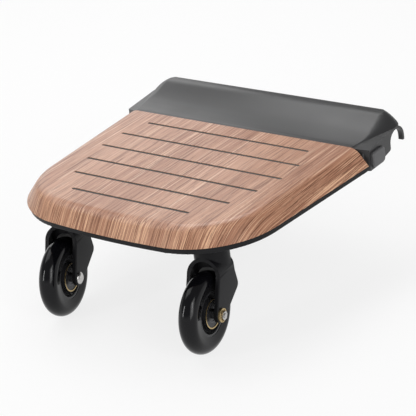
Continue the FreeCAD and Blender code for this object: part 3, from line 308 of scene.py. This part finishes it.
def metal(name, colour, roughness):
    """Plated metal with fine turning marks."""
    mat, tree, shader = new_material(name)
    space = own_space(tree)
    marks = noise(tree, stretched(tree, space, TURNING_MARKS), 1.0, 3.0, 0.6)
    cloud = noise(tree, space, 90.0, 3.0, 0.5)
    tint = ramp(tree, cloud, [
        (0.35, tuple(c * 0.86 for c in colour)),
        (0.65, tuple(c * 1.08 for c in colour)),
    ])
    tree.links.new(tint, shader.inputs["Base Color"])
    uneven = scaled(tree, marks, roughness - 0.06, roughness + 0.08)
    tree.links.new(uneven, shader.inputs["Roughness"])
    set_inputs(shader, {"Metallic": 1.0})
    bump(tree, shader, marks, 0.08, 0.0001)
    return mat


PLASTICS = {
    "grip_rubber": dict(colour=(0.060, 0.054, 0.050), roughness=0.70, grain=1800.0, depth=0.25),
    "tray_black": dict(colour=(0.010, 0.010, 0.011), roughness=0.46, grain=2400.0, depth=0.18, gloss=0.15),
    "housing_grey": dict(colour=(0.019, 0.019, 0.020), roughness=0.38, grain=3000.0, depth=0.12, spread=0.06,
                         gloss=0.48),
    "button_grey": dict(colour=(0.085, 0.085, 0.088), roughness=0.40, grain=3000.0, depth=0.10, spread=0.05),
    "latch_acetal": dict(colour=(0.060, 0.060, 0.062), roughness=0.38, grain=2000.0, depth=0.05),
    "fork_black": dict(colour=(0.007, 0.007, 0.008), roughness=0.36, grain=2400.0, depth=0.10, gloss=0.12),
    "tyre_black": dict(colour=(0.003, 0.003, 0.004), roughness=0.13, grain=900.0, depth=0.02, coat=0.26,
                       gloss=0.10),
    "hub_black": dict(colour=(0.020, 0.020, 0.022), roughness=0.25, grain=2000.0, depth=0.05, gloss=0.3),
}
METALS = {
    "steel": dict(colour=(0.52, 0.51, 0.50), roughness=0.28),
    "dark_steel": dict(colour=(0.10, 0.10, 0.105), roughness=0.38),
    "yellow_zinc": dict(colour=(0.50, 0.38, 0.19), roughness=0.36),
}
materials = {"wood_look_deck": wood_print()}
for name, look in PLASTICS.items():
    materials[name] = moulded(name, **look)
for name, look in METALS.items():
    materials[name] = metal(name, **look)


def shading_group():
    """Smooth shading with creases at sharp edges, as a modifier, so the mesh stays as it is."""
    group = bpy.data.node_groups.new("crease_shading", "GeometryNodeTree")
    for way in ("INPUT", "OUTPUT"):
        group.interface.new_socket("Geometry", in_out=way, socket_type="NodeSocketGeometry")
    start = add(group, "NodeGroupInput")
    end = add(group, "NodeGroupOutput")
    faces = add(group, "GeometryNodeSetShadeSmooth", domain="FACE")
    edges = add(group, "GeometryNodeSetShadeSmooth", {"Shade Smooth": False}, domain="EDGE")
    angle = add(group, "GeometryNodeInputMeshEdgeAngle")
    sharp = add(group, "FunctionNodeCompare", {"B": CREASE_ANGLE}, data_type="FLOAT",
                operation="GREATER_THAN")
    links = group.links
    links.new(start.outputs[0], faces.inputs["Geometry"])
    links.new(faces.outputs["Geometry"], edges.inputs["Geometry"])
    links.new(angle.outputs["Unsigned Angle"], sharp.inputs["A"])
    links.new(sharp.outputs["Result"], edges.inputs["Selection"])
    links.new(edges.outputs["Geometry"], end.inputs[0])
    return group


creases = shading_group()


def finish_mesh(obj):
    """Joins the facets' shared corners and shades them smooth up to the creases."""
    weld = obj.modifiers.new("weld", "WELD")
    weld.merge_threshold = WELD_DISTANCE
    soft = obj.modifiers.new("creases", "NODES")
    soft.node_group = creases


slot_of = {entry["node"]: entry["material_slot"] for entry in frame["record"]["subparts"]}
for name, obj in nodes.items():
    obj.data.materials.clear()
    obj.data.materials.append(materials[slot_of[name]])
    finish_mesh(obj)


def make_spring(side):
    """A copy of the latch's coil, hung on the board in place of the hidden part."""
    node = side + "_latch_spring"
    coil = bpy.data.objects.new(side + "_latch_coil", nodes[node].data.copy())
    scene.collection.objects.link(coil)
    finish_mesh(coil)
    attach(coil, "board")
    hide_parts(node)
    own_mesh(coil)


for side in ("left", "right"):
    make_spring(side)


def make_camera():
    """The photograph's view."""
    data = bpy.data.cameras.new("photo_camera")
    data.sensor_width = SENSOR_MM
    data.lens = LENS_MM
    data.clip_end = VIEW_END
    data.shift_x, data.shift_y = LENS_SHIFT
    cam = bpy.data.objects.new("photo_camera", data)
    scene.collection.objects.link(cam)
    back = CAMERA_RIGHT.cross(CAMERA_UP)
    turn = Matrix((CAMERA_RIGHT, CAMERA_UP, back)).transposed().to_4x4()
    cam.matrix_world = Matrix.Translation(CAMERA_PLACE) @ turn
    scene.camera = cam


def seen(tree, share):
    """A share for what the camera, mirrors and glass see, and nothing for the light on the object."""
    path = add(tree, "ShaderNodeLightPath").outputs
    direct = maths(tree, "MAXIMUM", path["Is Camera Ray"], path["Is Glossy Ray"])
    return product(tree, maths(tree, "MAXIMUM", direct, path["Is Transmission Ray"]), share)


def make_floor():
    """A pale floor that keeps a soft shadow."""
    mesh = bpy.data.meshes.new("floor")
    corners = [(x * FLOOR_REACH, y * FLOOR_REACH, 0) for x, y in ((-1, -1), (1, -1), (1, 1), (-1, 1))]
    mesh.from_pydata(corners, [], [(0, 1, 2, 3)])
    floor = bpy.data.objects.new("floor", mesh)
    scene.collection.objects.link(floor)
    mat, tree, shader = new_material("floor_white")
    set_inputs(shader, {"Base Color": FLOOR_COLOUR, "Roughness": 0.9, "Specular IOR Level": 0.1})
    glow = add(tree, "ShaderNodeEmission", {"Strength": 1.0})
    both = add(tree, "ShaderNodeMixShader")
    tree.links.new(seen(tree, FLOOR_WHITE_SHARE), both.inputs["Fac"])
    tree.links.new(shader.outputs[0], both.inputs[1])
    tree.links.new(glow.outputs[0], both.inputs[2])
    tree.links.new(both.outputs[0], tree.nodes["Material Output"].inputs["Surface"])
    mesh.materials.append(mat)


def make_world():
    """A white surround near the horizon, as the camera and reflections see it, under a grey ceiling."""
    world = bpy.data.worlds.new("studio")
    scene.world = world
    world.use_nodes = True
    tree = world.node_tree
    tree.nodes.clear()
    white = add(tree, "ShaderNodeBackground", {"Color": WHITE, "Strength": 1.0})
    fill = add(tree, "ShaderNodeBackground", {"Color": WHITE, "Strength": FILL_STRENGTH})
    coords = add(tree, "ShaderNodeTexCoord")
    split = add(tree, "ShaderNodeSeparateXYZ")
    tree.links.new(coords.outputs["Generated"], split.inputs[0])
    low = scaled(tree, split.outputs["Z"], 1.0, 0.0, *HORIZON)
    chosen = add(tree, "ShaderNodeMixShader")
    out = add(tree, "ShaderNodeOutputWorld")
    tree.links.new(product(tree, low, seen(tree, 1.0)), chosen.inputs["Fac"])
    tree.links.new(fill.outputs[0], chosen.inputs[1])
    tree.links.new(white.outputs[0], chosen.inputs[2])
    tree.links.new(chosen.outputs[0], out.inputs["Surface"])


def area_light(name, place, target, size, power):
    data = bpy.data.lights.new(name, "AREA")
    data.shape = "RECTANGLE"
    data.size, data.size_y = size
    data.energy = power
    lamp = bpy.data.objects.new(name, data)
    lamp.location = place
    lamp.rotation_mode = "QUATERNION"
    lamp.rotation_quaternion = (Vector(target) - Vector(place)).to_track_quat("-Z", "Y")
    scene.collection.objects.link(lamp)


make_camera()
make_floor()
make_world()
for lamp in LAMPS:
    area_light(*lamp)
scene.view_settings.view_transform = "Standard"
